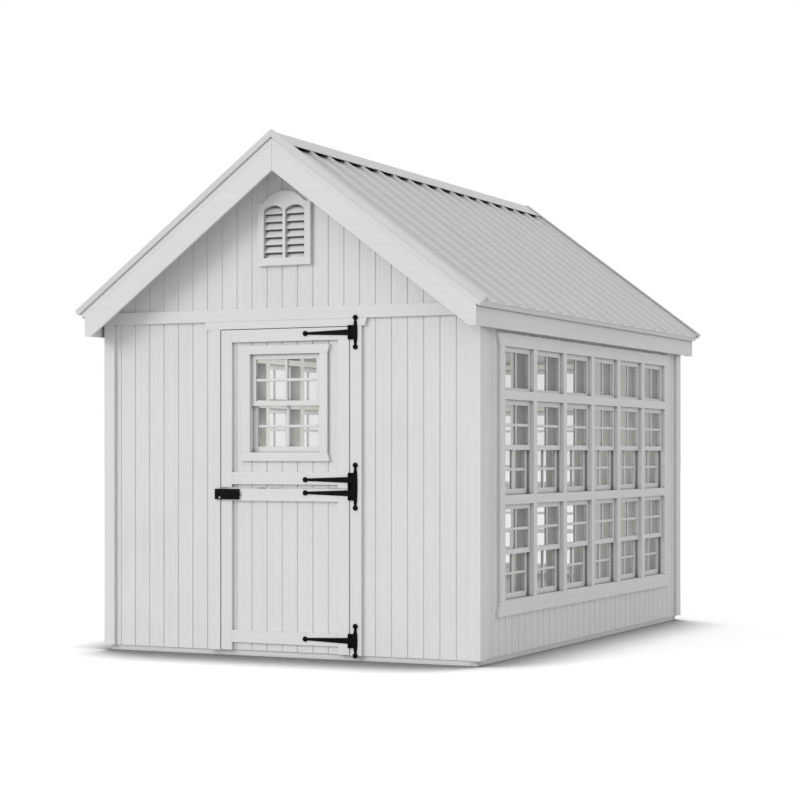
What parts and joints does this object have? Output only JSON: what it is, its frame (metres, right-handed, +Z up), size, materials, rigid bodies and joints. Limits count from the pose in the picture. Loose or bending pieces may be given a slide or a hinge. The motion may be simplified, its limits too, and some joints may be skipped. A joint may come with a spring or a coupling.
{
  "type": "garden greenhouse",
  "caption": "Painted timber greenhouse with a steep ribbed metal roof, banks of sliding windows and a door in two leaves.",
  "frame": {"origin": "on the ground under the middle of the house", "axes": "+X to the right of someone facing the door, +Y from the door to the back wall, +Z up"},
  "size_m": [2.7072, 4.052, 3.0834],
  "materials": {
    "painted_timber": "satin white paint",
    "bare_timber": "planed, painted pale inside",
    "roof_metal": "satin white coating",
    "black_iron": "satin black coating",
    "window_glass": "clear"
  },
  "bodies": {
    "house": {"floor_frame": "bare_timber", "floor_deck": "bare_timber", "front_wall": "painted_timber", "front_gable": "painted_timber", "right_wall": "painted_timber", "left_wall": "painted_timber", "back_wall": "painted_timber", "back_gable": "painted_timber", "wall_framing": "bare_timber", "window_framing": "bare_timber", "right_window_casing": "painted_timber", "left_window_casing": "painted_timber", "back_window_casing": "painted_timber", "right_sashes": "painted_timber", "left_sashes": "painted_timber", "back_sashes": "painted_timber", "right_glass": "window_glass", "left_glass": "window_glass", "back_glass": "window_glass", "corner_boards": "painted_timber", "band_boards": "painted_timber", "roof_frame": "bare_timber", "roof_deck": "bare_timber", "roof_panels": "roof_metal", "ridge_cap": "roof_metal", "rake_edge_trims": "roof_metal", "rake_boards": "painted_timber", "fascia_boards": "painted_timber", "gable_vent_frames": "painted_timber", "gable_vent_louvres": "painted_timber", "door_casing": "painted_timber", "hinge_plates": "black_iron", "latch_keeper": "black_iron"},
    "upper_leaf": {"upper_door_panel": "painted_timber", "upper_door_frame": "painted_timber", "upper_door_trim": "painted_timber", "upper_door_sashes": "painted_timber", "upper_door_glass": "window_glass", "upper_door_straps": "black_iron"},
    "lower_leaf": {"lower_door_panel": "painted_timber", "lower_door_frame": "painted_timber", "lower_door_trim": "painted_timber", "lower_door_straps": "black_iron", "door_latch": "black_iron"}
  },
  "joints": [
    {"name": "upper_leaf_hinge", "type": "hinge", "parent": "house", "child": "upper_leaf", "pos_m": [0.4293, -1.8692, 1.476], "axis": [0, 0, 1], "range_deg": [0, 160]},
    {"name": "lower_leaf_hinge", "type": "hinge", "parent": "house", "child": "lower_leaf", "pos_m": [0.4293, -1.8692, 0.545], "axis": [0, 0, 1], "range_deg": [0, 160]}
  ]
}
